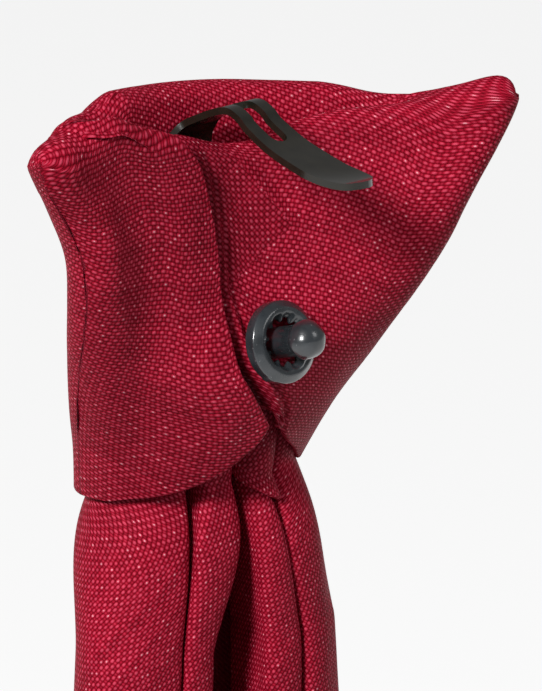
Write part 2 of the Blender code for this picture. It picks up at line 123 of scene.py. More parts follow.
# The knot's grid: points up each side, steps between them, how the back's rows crowd to
# the crest, the columns from ear to ear, and the rows from the pocket to the crest.
# CONTACT is how far past the near flap's edge it touches, in millimetres; painted shade is
# centred there.
SIDE_POINTS = 9
FINE = 8
BACK_CROWDING = 1.4
TURNS = tuple(math.sin(t) for t in np.linspace(1.45, 0.12, 9))
NEAR_SHARES = 1 - (1 - np.linspace(0, 1, 64)) ** 1.3
FAR_SHARES = np.linspace(0, 1, 80)[1:]
LAP_COLUMN = len(TURNS) + len(NEAR_SHARES) - 1
VALLEY_ROWS = 26
KNOT_INSIDE = np.array([0.0, -12.0, 4.0])
BACK_SIDE = -8.0
CONTACT = 0.4

# The ears' tops are relaxed in passes, over so many rows and columns.
RELAX_PASSES = 10
RELAX_RATE = 0.8
RELAX_ROWS = 110.0
RELAX_ABOVE_CREST = 20
RELAX_COLUMNS = 22

# The weave: pitch of its yarns, how its map is turned on the two sides of the lap, the
# height where each column's map starts, and its smoothing. BIAS_TURN is added where the
# cloth is drawn round beside the lap.
KNOT_YARN = 0.46
BLADE_YARN = 0.42
NEAR_TURN = -34.0
FAR_TURN = -24.0
BIAS_TURN = 30.0
LEVEL = 8.0
MAP_SMOOTHING = 120

# Knot sections: height, outer half width at the folds, y of the folds, y of the
# front and back at the centre line, and the folds' radius.
KNOT_ROWS = (
    # z, half, side, front, back, fold
    (26.0, 29.7, 0.9, -13.2, -4.8, 2.5),
    (20.0, 28.1, 0.1, -13.8, -4.6, 2.6),
    (12.0, 24.1, -1.6, -15.4, -4.2, 3.0),
    (4.0, 21.8, -5.0, -17.9, -3.2, 3.6),
    (-3.0, 18.9, -9.3, -20.3, -1.3, 4.5),
    (-9.0, 16.6, -12.5, -22.7, -2.9, 5.0),
    (-14.0, 14.1, -15.9, -24.8, -5.8, 5.0),
    (-20.0, 13.0, -17.6, -26.6, -8.3, 5.2),
)
# The knot's top edge: height of the rim and of the flap's crest, how open the pocket
# between them is, and its depth.
TOP_ROWS = (
    # s, rim, crest, open, depth
    (-1.00, 24.2, 24.2, 0.0, 2.0),
    (-0.85, 22.8, 22.8, 0.0, 2.0),
    (-0.70, 23.1, 22.8, 0.3, 2.5),
    (-0.50, 23.3, 21.9, 0.9, 3.5),
    (-0.21, 24.1, 20.9, 1.0, 5.5),
    (-0.02, 24.8, 19.7, 1.0, 6.0),
    (0.14, 25.3, 19.9, 1.0, 6.0),
    (0.36, 25.9, 21.7, 1.0, 6.0),
    (0.60, 26.5, 23.0, 0.9, 3.5),
    (0.76, 26.6, 26.2, 0.3, 2.5),
    (0.86, 25.7, 25.7, 0.0, 2.0),
    (0.93, 24.9, 24.9, 0.0, 2.0),
    (1.00, 24.8, 24.8, 0.0, 2.0),
)
HEM_ROWS = (
    # s, front, back
    (-1.00, -18.0, -18.0),
    (-0.60, -19.4, -15.0),
    (-0.25, -20.2, -11.4),
    (-0.07, -20.4, -7.8),
    (0.06, -20.4, -10.2),
    (0.30, -20.4, -14.0),
    (0.60, -20.0, -16.8),
    (1.00, -18.2, -18.2),
)
# The near flap's free edge, and how far below the crest its top edge lies (less than
# 0 where it turns over the crest).
LAP_ROWS = (
    # z, x of the free edge
    (-20.0, 0.2),
    (-8.0, 0.8),
    (-1.4, 5.0),
    (4.0, 6.6),
    (12.0, 7.6),
    (17.0, 8.7),
    (19.5, 9.6),
    (21.0, 10.5),
    (23.0, 11.8),
)
FLAP_TOP_ROWS = (
    # share of the way from the ear to the lap, drop below the crest
    (0.00, -9.0),
    (0.10, -7.0),
    (0.20, -3.4),
    (0.30, -1.6),
    (0.45, -0.3),
    (0.58, 0.6),
    (0.66, 1.2),
    (0.76, 2.0),
    (0.86, 2.7),
    (0.94, 3.7),
    (0.98, 4.9),
    (1.00, 6.2),
)
SEAM_ROWS = (
    # distance past the near flap's edge, half width, height
    (0.4, 1.15, -1.05),
    (2.2, 0.75, 0.42),
    (3.1, 0.50, -0.32),
)
UNDER_EDGE_ROWS = (
    # distance above the near flap's top edge, half width, height
    (0.3, 0.85, -0.85),
    (1.55, 0.7, 0.30),
)
FOLD_LINE = (
    # z, x of the soft fold that runs down from the clip
    (4.5, 6.0),
    (10.7, -3.9),
    (20.0, 3.9),
    (22.0, 5.6),
)
CREASES = {
    "base": (
        # from, to, width, height (less than 0 is a trough)
        ((18.5, 1.5, 19.0), (14.0, -1.0, -2.0), 3.6, -0.35),
        ((22.0, 2.0, 22.0), (20.5, 0.0, 6.0), 2.6, 0.25),
        ((16.0, -6.0, -4.0), (4.0, -3.0, -10.0), 2.6, -0.20),
        ((4.0, -3.8, 20.5), (-12.0, -1.0, 14.0), 2.2, -0.45),
        ((2.0, -3.9, 19.0), (-9.0, -2.0, 10.0), 1.8, 0.25),
        ((-2.0, -3.5, 21.2), (-14.0, -1.5, 18.5), 1.6, 0.30),
        ((-6.0, -3.4, 15.0), (-19.0, 0.0, 8.0), 3.0, -0.28),
        ((-10.0, -2.8, 20.5), (-21.0, 0.6, 15.0), 1.8, -0.25),
        ((2.5, -3.0, 10.0), (-8.0, -2.6, 2.0), 2.4, -0.22),
        ((3.4, -4.5, 19.4), (-4.8, -4.2, 9.4), 1.7, 0.34),
        ((2.4, -4.5, 20.4), (-6.2, -4.1, 10.6), 1.6, -0.50),
        ((0.0, -15.5, 20.0), (-9.0, -17.5, 4.0), 3.5, -0.22),
        ((6.0, -15.0, 16.0), (11.0, -16.5, 0.0), 3.0, 0.20),
        ((-3.0, -20.0, -2.0), (-4.5, -24.5, -14.0), 2.6, -0.20),
        ((5.0, -21.5, -6.0), (3.5, -25.0, -18.0), 2.2, -0.24),
    ),
    "flap": (
        # from, to, width, height
        ((12.0, 0.5, 15.0), (10.0, 0.5, 0.0), 3.0, 0.20),
    ),
}
# Plan of the blade's folds, from one free back edge to the other, at three heights
FOLD_LEVELS = (-17.5, -22.0, -36.0)
FOLD_ROWS = (
    # knot x, y, under x, y, lower x, y, share
    (-0.5, -15.0, -0.9, -15.0, 1.7, -17.5, 0.000),
    (-0.5, -12.3, -0.9, -11.5, 1.7, -13.0, 0.030),
    (-0.1, -10.3, -0.5, -9.4, 2.1, -10.3, 0.050),
    (2.4, -10.3, 3.2, -9.3, 4.6, -9.9, 0.085),
    (2.6, -12.2, 3.1, -11.2, 4.7, -11.2, 0.105),
    (2.8, -14.0, 3.2, -13.8, 4.7, -12.9, 0.118),
    (4.0, -14.0, 4.4, -13.8, 5.9, -12.9, 0.132),
    (4.4, -12.6, 4.6, -12.2, 6.0, -11.6, 0.145),
    (5.0, -11.6, 5.1, -10.7, 6.3, -10.3, 0.155),
    (7.9, -12.8, 9.2, -12.2, 11.2, -10.6, 0.200),
    (11.3, -16.6, 11.9, -16.4, 14.3, -13.4, 0.250),
    (9.2, -20.2, 10.6, -21.0, 12.9, -18.5, 0.300),
    (5.0, -22.8, 6.0, -23.9, 7.6, -22.6, 0.400),
    (0.0, -23.6, 0.0, -25.2, 0.0, -24.0, 0.500),
    (-4.5, -21.8, -6.4, -24.6, -8.0, -22.6, 0.600),
    (-8.4, -19.2, -11.8, -21.6, -14.0, -18.5, 0.700),
    (-11.6, -16.6, -13.3, -16.6, -15.4, -13.4, 0.750),
    (-9.8, -12.8, -10.6, -10.8, -12.6, -10.2, 0.800),
    (-7.2, -11.5, -6.8, -9.2, -10.0, -9.4, 0.845),
    (-6.2, -12.6, -6.5, -11.2, -9.8, -11.0, 0.860),
    (-6.1, -14.0, -6.5, -13.4, -9.7, -12.8, 0.873),
    (-4.8, -14.0, -5.2, -13.4, -8.5, -12.8, 0.887),
    (-4.7, -12.6, -5.2, -11.2, -8.5, -11.0, 0.900),
    (-4.1, -10.4, -5.1, -8.7, -8.3, -9.3, 0.915),
    (-2.9, -10.3, -3.2, -8.7, -5.3, -9.4, 0.940),
    (-2.3, -12.3, -2.9, -11.0, -5.6, -12.3, 0.960),
    (-2.3, -15.0, -3.0, -15.0, -6.0, -17.5, 1.000),
)
# The blade's tube: half width by height, depth, middle, what share of the way round
# each side fold takes, and half the gap at the back
WIDTH_ROWS = (
    # z, half
    (-450.0, 42.5),
    (-300.0, 34.0),
    (-150.0, 25.3),
    (-90.0, 21.6),
    (-60.0, 19.4),
    (-36.0, 17.0),
)
TUBE_DEPTH = 1.15
TUBE_MIDDLE = -16.5
TUBE_SET_BACK = 1.5
TUBE_FOLD = 0.012
TUBE_SLIT = 0.2
OPENING_LENGTH = 62.0
GROWTH = 0.10
GROWTH_LENGTH = 20.0
POINT_FROM = -300.0

# How the pleats are squeezed inside the knot
SQUEEZED_FROM = -17.0
SQUEEZED_TO = -11.4
SQUEEZE = 0.62
SPREAD = 0.2

# Fittings
CLIP_ACROSS = np.array([0.97, 0.22, 0.0])
CLIP_THICKNESS = 0.7
CLIP_END_RADIUS = 1.25
CLIP_FAR_HALF = 2.6
CLIP_DISH = 0.12
CLIP_BEVEL = 0.16
SLOT_HALF = 1.0
SLOT_BEFORE_CREST = 0.9
SLOT_PAST_CREST = 6.0
CLIP_ROWS = (
    # x, y, z, half
    (6.0, -7.65, 15.5, 3.4),
    (5.9, -7.65, 17.5, 3.8),
    (5.75, -7.6, 20.2, 4.0),
    (5.5, -7.2, 21.5, 3.2),
    (5.2, -6.6, 22.4, 2.6),
    (4.74, -5.1, 23.2, 2.5),
    (4.2, -3.1, 24.1, 2.5),
    (3.73, -1.4, 24.5, 2.5),
    (3.36, 0.0, 23.9, 2.5),
    (3.13, 0.9, 23.1, 2.5),
    (2.6, 2.8, 21.9, 2.6),
    (2.13, 4.5, 21.1, 2.7),
    (1.56, 6.6, 20.35, 2.8),
    (1.05, 8.5, 19.75, 2.8),
    (0.53, 10.4, 19.35, 2.6),
    (0.02, 12.3, 19.2, 2.1),
    (-0.35, 13.7, 19.3, 1.1),
)
WASHER_OUT = (-0.13, 0.95, 0.28)
WASHER_PLACE = np.array([-0.4, 0.4, 0.2])
WASHER_RADIUS = 4.2
WASHER_THICKNESS = 1.8
WASHER_HOLE_RADIUS = 2.3
WASHER_SCALLOP = 0.24
WASHER_LOBES = 10
WASHER_ROUNDING = 0.16
GATE_ANGLE = 5.35
GATE_SPAN = 0.16
GATE_HEIGHT = 0.12
PIN_RADIUS = 1.6
PIN_DOME_RADIUS = 2.0
PIN_REACH = 4.6
PIN_FOOT_PROFILE = ((0.0, -4.6), (3.3, -4.6), (3.4, -4.1), (3.4, -3.9), (PIN_RADIUS, -3.8))

# Looks: each set of yarns' rest height, swing and narrowness, and the colour from the gaps to
# the crowns: crimson dye with painted shade darkening the gaps and a painted highlight
# lightening the crowns. GLINT is the pale colour painted on a few crowns as glints.
WARP = (0.64, 0.36, 1.5)
WEFT = (0.38, 0.34, 1.8)
DYE_AND_PAINTED_LIGHT = (
    (0.10, (0.045, 0.0, 0.001)),
    (0.36, (0.17, 0.0015, 0.008)),
    (0.64, (0.38, 0.007, 0.027)),
    (0.97, (0.63, 0.062, 0.115)),
)
GLINT = (1.0, 0.62, 0.66, 1.0)
METAL = ((0.3, (0.010, 0.009, 0.006)), (0.7, (0.017, 0.015, 0.010)))
PLASTIC = ((0.3, (0.015, 0.018, 0.021)), (0.7, (0.032, 0.038, 0.043)))
NICK = (0.30, 0.30, 0.31, 1.0)

# Camera and lights, in degrees, metres and watts; offsets are right, up and back
CAMERA_AZIMUTH = 145.0
CAMERA_ELEVATION = 17.0
CAMERA_DISTANCE = 0.40
CAMERA_LENS = 208.4
CAMERA_OFFSET = (-1.2, -0.25)
KEY_OFFSET = (-0.45, 0.32, 0.95)
FILL_OFFSET = (0.8, 0.5, 0.5)
FLOOR_HALF = 8.0
FLOOR_BELOW = 0.045
FLOOR_GLOW = 0.755
SKY = 0.20


# Curves and grids ------------------------


def column(rows, at, index, key=0):
    """A table column as a smooth curve over another column, read at the values at."""
    table = np.array(sorted(rows, key=lambda row: row[key]))
    xs, ys = table[:, key], table[:, index]
    slope = np.gradient(ys, xs)
    at = np.clip(np.asarray(at, dtype=float), xs[0], xs[-1])
    i = np.clip(np.searchsorted(xs, at, side="right") - 1, 0, len(xs) - 2)
    step = xs[i + 1] - xs[i]
    t = (at - xs[i]) / step
    return (
        (2 * t**3 - 3 * t**2 + 1) * ys[i]
        + (t**3 - 2 * t**2 + t) * step * slope[i]
        + (3 * t**2 - 2 * t**3) * ys[i + 1]
        + (t**3 - t**2) * step * slope[i + 1]
    )


def ease(t):
    """A smooth step from 0 to 1."""
    t = np.clip(t, 0.0, 1.0)
    return t * t * (3 - 2 * t)


def bump(t):
    """A smooth hump: 1 at 0, gone by 1 on either side."""
    return (1 - np.clip(np.abs(t), 0, 1) ** 2) ** 2


def catmull(points, counts):
    """A smooth curve through points, with a stated number of steps in each span."""
    points = np.asarray(points, dtype=float)
    padded = np.vstack([2 * points[0] - points[1], points, 2 * points[-1] - points[-2]])
    out = []
    for k, count in enumerate(counts):
        a, b, c, d = padded[k : k + 4]
        t = (np.arange(count) / count)[:, None]
        curve = 2 * b + (c - a) * t + (2 * a - 5 * b + 4 * c - d) * t**2
        out.append(0.5 * (curve + (3 * b - a - 3 * c + d) * t**3))
    out.append(points[-1:])
    return np.vstack(out)


def unit(v):
    return v / np.maximum(np.linalg.norm(v, axis=-1, keepdims=True), 1e-9)


def grid_normals(grid):
    """Unit normals of a grid of points, from its neighbours' differences."""
    return unit(np.cross(np.gradient(grid, axis=0), np.gradient(grid, axis=1)))


def facing(normal, away):
    """Normals turned as a whole, where need be, to point away."""
    return normal * np.sign(np.median(np.sum(normal * away, axis=-1)))


def path_length(points):
    """Distance along a run of points, from its first."""
    steps = np.linalg.norm(np.diff(points, axis=0), axis=1)
    return np.concatenate([[0.0], np.cumsum(steps)])


def sample(values, along, at):
    """Rows of values known at distances along a run, read at other distances."""
    return np.column_stack([np.interp(at, along, part) for part in values.T])


def add_to_scene(name, data):
    obj = bpy.data.objects.new(name, data)
    bpy.context.collection.objects.link(obj)
    return obj


def add_mesh(name, points, faces, mat, weld, flat=None, sharp=None):
    """A welded, smooth mesh from points in millimetres, with the cloth's flat map or
    edges kept sharp from an angle in degrees."""
    mesh = bpy.data.meshes.new(name)
    mesh.from_pydata(((np.asarray(points) - GRIP) * MM).tolist(), [], faces)
    if flat is not None:
        layer = mesh.attributes.new("cloth_mm", "FLOAT_VECTOR", "POINT")
        layer.data.foreach_set("vector", np.array(flat, dtype=np.float32).ravel())
    bm = bmesh.new()
    bm.from_mesh(mesh)
    bmesh.ops.remove_doubles(bm, verts=bm.verts, dist=weld)
    bmesh.ops.recalc_face_normals(bm, faces=bm.faces)
    bm.to_mesh(mesh)
    bm.free()
    mesh.materials.append(mat)
    mesh.shade_smooth()
    if sharp is not None:
        mesh.set_sharp_from_angle(angle=math.radians(sharp))
    return add_to_scene(name, mesh)


class Shell:
    """A thin cloth skin made of grids: points, quads and the cloth's own flat map."""

    def __init__(self, grid, flat):
        self.points, self.faces, self.flat = [], [], []
        self.add(grid, flat)

    def add(self, grid, flat, mark=None):
        """A grid of points with its flat coordinates in millimetres and a mark: up to 1 where
        the cloth is drawn round on the bias, its weave turned and painted a little darker as
        shade, and less than 0 where a neighbour's shade is painted on it."""
        rows, cols = grid.shape[:2]
        start = len(self.points)
        self.points += [tuple(p) for p in grid.reshape(-1, 3)]
        if mark is None:
            mark = np.zeros((rows, cols))
        self.flat += [tuple(p) for p in np.dstack([flat, mark]).reshape(-1, 3)]
        for i in range(rows - 1):
            for j in range(cols - 1):
                a = start + i * cols + j
                self.faces.append((a, a + 1, a + cols + 1, a + cols))

    def fold_sides(self, grid, normal, flat, thickness, tuck, axis=(1.0, 0.0)):
        """Both sides of a grid folded under; its flat map grows along the axis."""
        for end, step, sign in ((0, 1, -1.0), (-1, -1, 1.0)):
            edge, skin, maps = grid[:, end], normal[:, end], flat[:, end]
            out, flat_out = unit(edge - grid[:, end + step]), sign * np.array(axis)
            self.add(*rolled_edge(edge, out, skin, thickness, tuck, maps, flat_out))

    def fold_hem(self, grid, normal, flat, thickness, tuck):
        """The lowest edge of a grid, folded under."""
        out, flat_out = unit(grid[-1] - grid[-2]), np.array([0.0, 1.0])
        self.add(*rolled_edge(grid[-1], out, normal[-1], thickness, tuck, flat[-1], flat_out))

    def build(self, name, mat):
        return add_mesh(name, self.points, self.faces, mat, SKIN_WELD, flat=self.flat)


def rolled_edge(edge, out, normal, thickness, tuck, flat, flat_out):
    """A folded edge: from the skin's edge round a half circle and back underneath.
    Returns the grid and its flat map."""
    r = np.broadcast_to(np.asarray(thickness, dtype=float) / 2, edge.shape[:1])[:, None]
    rows, maps = [edge], [flat]
    for angle in np.linspace(0, math.pi, 7)[1:]:
        under = normal * r * (1 - math.cos(angle))
        rows.append(edge + out * r * math.sin(angle) - under)
        maps.append(flat + flat_out * (r * angle))
    for t in (0.35, 1.0):
        rows.append(edge - out * tuck * t - normal * 2 * r)
        maps.append(flat + flat_out * (r * math.pi + tuck * t))
    return np.array(rows), np.array(maps)


# Knot ------------------------------------


def fold_curve(s, z, outer, sign):
    """Plan point and normal of the front (sign -1) or back (+1) at share s."""
    half = column(KNOT_ROWS, z, 1)
    side = column(KNOT_ROWS, z, 2)
    centre = column(KNOT_ROWS, z, outer)
    fold = column(KNOT_ROWS, z, 5)
    reach = half - fold
    rise = centre - sign * fold - side
    slope = -rise * 2 * s / reach
    point = np.array([reach * s, side + rise * (1 - s * s)])
    normal = sign * np.array([-slope, 1.0]) / math.hypot(slope, 1.0)
    return point, normal, fold


def knot_plan(s, turn, z, sign):
    """Outer plan point at share s; turn swings it round the ear's fold to its tip."""
    outer = 4 if sign > 0 else 3
    point, normal, fold = fold_curve(s, z, outer, sign)
    if turn > 0:
        across = normal - fold_curve(s, z, 7 - outer, -sign)[1]
        tip = np.array([-across[1], across[0]])
        tip *= math.copysign(1.0, tip[0] * s) / np.linalg.norm(tip)
        start = math.atan2(normal[1], normal[0])
        swing = math.atan2(tip[1], tip[0]) - start
        swing = (swing + math.pi) % (2 * math.pi) - math.pi
        angle = start + swing * turn
        normal = np.array([math.cos(angle), math.sin(angle)])
        high = float(ease((z - EAR_PULL_FROM) / EAR_PULL_OVER))
        fold = fold + EAR_PULL * (s > 0) * high * turn
    return point + normal * fold


def lap_share(z):
    """Share s of the near flap's free edge at a height."""
    reach = column(KNOT_ROWS, z, 1) - column(KNOT_ROWS, z, 5)
    return float(column(LAP_ROWS, z, 1) / reach)


def knot_profile(s_of, turn):
    """One column's curve: up the front, over the rim, into the pocket, over the
    flap's crest and down the back. s_of gives the share at a height. Where the pocket
    is shut, a plain arch takes the place of rim and crest."""
    top = s_of(TOP_LEVEL)
    outer, inner = RIM_ROLL, FLAP_ROLL
    fold = float(column(KNOT_ROWS, EAR_LEVEL, 5))
    lowered = fold * (1 - math.cos(turn * math.pi / 2)) * (EAR_DROP if top > 0 else 1.0)
    rim = float(column(TOP_ROWS, top, 1)) - lowered
    crest = float(column(TOP_ROWS, top, 2)) - lowered
    opening = float(np.clip(column(TOP_ROWS, top, 3), 0.0, 1.0))
    depth = float(column(TOP_ROWS, top, 4))
    fore = knot_plan(top, turn, rim - outer, -1)
    aft = knot_plan(top, turn, crest - inner, 1)
    deep = float(np.linalg.norm(aft - fore))
    shoulder = min(rim, crest) - deep / 2
    dip = min(crest - DIP_BELOW * inner, rim - DIP_BELOW * outer) - depth
    lean = POCKET_LEAN * opening
    slot = deep - 2 * outer - 2 * inner
    pocket = (
        (ARC * outer, rim - ARC * outer),
        (outer, rim),
        ((2 - ARC) * outer, rim - ARC * outer),
        (2 * outer, rim - ROLL_FOOT * outer),
        (2 * outer + lean, dip + POCKET_SIDE),
        (2 * outer + 0.2 * slot, dip + POCKET_CORNER),
        (2 * outer + 0.5 * slot, dip),
        (2 * outer + 0.8 * slot, dip + POCKET_CORNER),
        (deep - 2 * inner - lean, dip + POCKET_SIDE),
        (deep - 2 * inner, crest - ROLL_FOOT * inner),
        (deep - (2 - ARC) * inner, crest - ARC * inner),
        (deep - inner, crest),
        (deep - ARC * inner, crest - ARC * inner),
    )
    lid = []
    for k, (across, height) in enumerate(pocket):
        angle = math.pi * (k + 1) / (len(pocket) + 1)
        arched = deep / 2 * (1 - math.cos(angle))
        arch = shoulder + deep / 2 * math.sin(angle)
        share = (across * opening + arched * (1 - opening)) / deep
        place = fore + (aft - fore) * share
        lid.append((*place, height * opening + arch * (1 - opening)))
    rim_shoulder = (rim - outer) * opening + shoulder * (1 - opening)
    crest_shoulder = (crest - inner) * opening + shoulder * (1 - opening)
    front_hem = float(column(HEM_ROWS, s_of(FRONT_HEM_LEVEL), 1))
    back_hem = float(column(HEM_ROWS, s_of(BACK_HEM_LEVEL), 2))
    front = []
    for z in np.linspace(front_hem, rim_shoulder, SIDE_POINTS):
        front.append((*knot_plan(s_of(z), turn, z, -1), z))
    back = []
    for t in np.linspace(0, 1, SIDE_POINTS) ** BACK_CROWDING:
        z = crest_shoulder + (back_hem - crest_shoulder) * t
        back.append((*knot_plan(s_of(z), turn, z, 1), z))
    side = [FINE] * (SIDE_POINTS - 1)
    crest_at = sum(side) + (FINE // 2) * (len(lid) - 1)
    return catmull(front + lid + back, side + [FINE // 2] * (len(lid) + 1) + side), crest_at


def knot_grid():
    """The wrap's columns, from the near ear's fold over the lap to the far ear's."""
    entries = [((lambda z: 1.0), turn) for turn in TURNS]
    for a in NEAR_SHARES:
        entries.append(((lambda z, a=a: 1 + (lap_share(z) - 1) * a), 0.0))
    for a in FAR_SHARES:
        entries.append(((lambda z, a=a: lap_share(z) + (-1 - lap_share(z)) * a), 0.0))
    entries += [((lambda z: -1.0), turn) for turn in reversed(TURNS)]
    grid = []
    for s_of, turn in entries:
        points, crest_at = knot_profile(s_of, turn)
        grid.append(points)
    return relaxed(np.array(grid), crest_at), crest_at


def measured(grid, across):
    """Distances along a knot grid's rows and columns, smoothed so that the weave
    keeps its size and its lines run evenly. A column's last two fifths are its back."""
    down = []
    for points in grid:
        back = len(points) * 3 // 5
        level = np.interp(-LEVEL, -points[back:, 2], path_length(points)[back:])
        down.append(path_length(points) - level)
    down = np.array(down)
    run = unit(np.gradient(grid, axis=1))
    run = (run[1:] + run[:-1]) / 2
    step = np.diff(grid, axis=0)
    step = step - run * np.sum(step * run, axis=2, keepdims=True)
    over = np.cumsum(np.linalg.norm(step, axis=2), axis=0)
    over = np.vstack([np.zeros((1, grid.shape[1])), over])
    over = over - over[across]
    for _ in range(MAP_SMOOTHING):
        down[1:-1] = (down[:-2] + 2 * down[1:-1] + down[2:]) / 4
        over[:, 1:-1] = (over[:, :-2] + 2 * over[:, 1:-1] + over[:, 2:]) / 4
    return over, down


def turned(over, down, turn):
    """Flat coordinates from the two distances, turned by some degrees."""
    cos, sin = math.cos(math.radians(turn)), math.sin(math.radians(turn))
    return np.stack([over * cos + down * sin, down * cos - over * sin], axis=2)


def front_map(grid, over):
    """The front's distances, carried on round the near ear from the back's."""
    front = len(grid[0]) * 2 // 5
    back = len(grid[0]) * 3 // 5
    down = []
    for points in grid:
        level = np.interp(LEVEL, points[:front, 2], path_length(points)[:front])
        down.append(level - path_length(points))
    tip = np.interp(-grid[0, :, 2], -grid[0, back:, 2], over[0, back:])
    return tip - (over - over[0]), np.array(down)


def relaxed(grid, crest_at):
    """The ears' tops drawn smooth, as cloth stretched over a fold is."""
    rows = np.arange(grid.shape[1])
    along = bump((rows - crest_at + RELAX_ABOVE_CREST) / RELAX_ROWS)[None, :, None]
    ends = np.zeros(len(grid))
    half = (RELAX_COLUMNS - 1) / 2
    ends[:RELAX_COLUMNS] = bump((np.arange(RELAX_COLUMNS) - int(half)) / half)
    ends[-RELAX_COLUMNS:] = ends[:RELAX_COLUMNS][::-1]
    for _ in range(RELAX_PASSES):
        mean = grid.copy()
        mean[1:-1, 1:-1] = (
            grid[:-2, 1:-1] + grid[2:, 1:-1] + grid[1:-1, :-2] + grid[1:-1, 2:]
        ) / 4
        grid = grid + (mean - grid) * RELAX_RATE * along * ends[:, None, None]
    return grid


def outward(grid):
    """Unit normals of a knot grid, away from the knot's inside."""
    return facing(grid_normals(grid), grid - KNOT_INSIDE)


def knot_creases(grid, kind):
    """Main creases of the knot's cloth, as soft troughs and ridges along lines laid over its
    surface."""
    normal = outward(grid)
    height = np.zeros(grid.shape[:2])
    for start, end, width, depth in CREASES[kind]:
        a, run = np.array(start), np.array(end) - np.array(start)
        t = ((grid - a) @ run) / (run @ run)
        off = np.linalg.norm(grid - (a + np.clip(t, 0, 1)[..., None] * run), axis=2)
        height += depth * bump(off / width) * bump((t - 0.5) / 0.62)
    return grid + normal * height[..., None]


def past_lap(grid):
    """How far each point lies past the near flap's free edge."""
    return column(LAP_ROWS, grid[..., 2], 1) - grid[..., 0]


def below_top_edge(grid, crest_at):
    """Each near column's number and share, and how far its points lie below the near
    flap's top edge."""
    for k, share in enumerate(NEAR_SHARES):
        along = path_length(grid[len(TURNS) + k])
        drop = along - along[crest_at] - float(column(FLAP_TOP_ROWS, share, 1))
        yield len(TURNS) + k, share, drop


def lap_trough(grid, crest_at):
    """The wrap beside the near flap: pressed in along its free edge, with a low ridge
    and a trough past that, and along its top edge, with a ridge above."""
    normal = outward(grid)
    past = past_lap(grid)
    height = np.zeros(grid.shape[:2])
    for place, half, rise in SEAM_ROWS:
        height += rise * bump((past - place) / half)
    height *= ease((np.arange(grid.shape[1]) - crest_at - 6) / 8.0)
    for at, share, drop in below_top_edge(grid, crest_at):
        under = sum(rise * bump((drop + place) / half) for place, half, rise in UNDER_EDGE_ROWS)
        height[at] += under * ease((share - 0.35) / 0.3)
    return grid + normal * height[..., None]


def turned_share(grid):
    """Where the far flap's cloth is drawn round on the bias, from the lap to the soft fold that
    runs down from the clip. The weave turns there, and its colour is painted a little darker as
    shade."""
    fold = np.interp(grid[..., 2], *np.array(FOLD_LINE).T)
    return ease((grid[..., 0] - fold) / 0.8 + 0.5) * ease((past_lap(grid) - CONTACT) / 0.6)


def edge_shade(grid, crest_at):
    """Painted shade: a dark line along the near flap's top edge, less than 0."""
    shade = np.zeros(grid.shape[:2])
    for at, share, drop in below_top_edge(grid, crest_at):
        shade[at] = -bump((drop + 0.25) / 0.6) * ease((share - 0.02) / 0.2)
    return shade


def make_knot_wrap(mat, grid, crest_at):
    """The wrap from ear to ear, with its rim, pocket and far flap, and a rolled hem."""
    over, down = measured(grid, LAP_COLUMN)
    band = turned(*front_map(grid, over), NEAR_TURN)
    flat = turned(over, down, NEAR_TURN)
    far_flat = turned(over, down, FAR_TURN)
    grid = lap_trough(knot_creases(grid, "base"), crest_at)
    valley = crest_at - VALLEY_ROWS
    shell = Shell(grid[:, : valley + 1], band[:, : valley + 1])
    parted = grid[:, valley:].copy()
    parted[:, 0, 2] += PARTED
    near = parted[: LAP_COLUMN + 1]
    shell.add(near, flat[: LAP_COLUMN + 1, valley:], edge_shade(near, crest_at - valley))
    parted[LAP_COLUMN, :, 1] += PARTED
    far = parted[LAP_COLUMN:]
    # Painted shade, a contact shadow beside the near flap's free edge, goes into the mark as
    # less than 0.
    painted_shade = bump(past_lap(far) - CONTACT)
    mark = (turned_share(far) - painted_shade) * (far[..., 1] > BACK_SIDE)
    shell.add(far, far_flat[LAP_COLUMN:, valley:], mark)
    flat[LAP_COLUMN:] = far_flat[LAP_COLUMN:]
    flat[:, 0] = band[:, 0]
    shell.fold_sides(grid, outward(grid), flat, KNOT_EDGE, KNOT_TUCK, (0.0, 1.0))
    half = grid.shape[1] // 2 + 1
    for tip in (0, -1):
        strip = np.array([grid[tip, :half], grid[tip, ::-1][:half]])
        shell.add(strip, np.array([flat[tip, :half]] * 2))
    return shell.build("knot_cloth", mat)


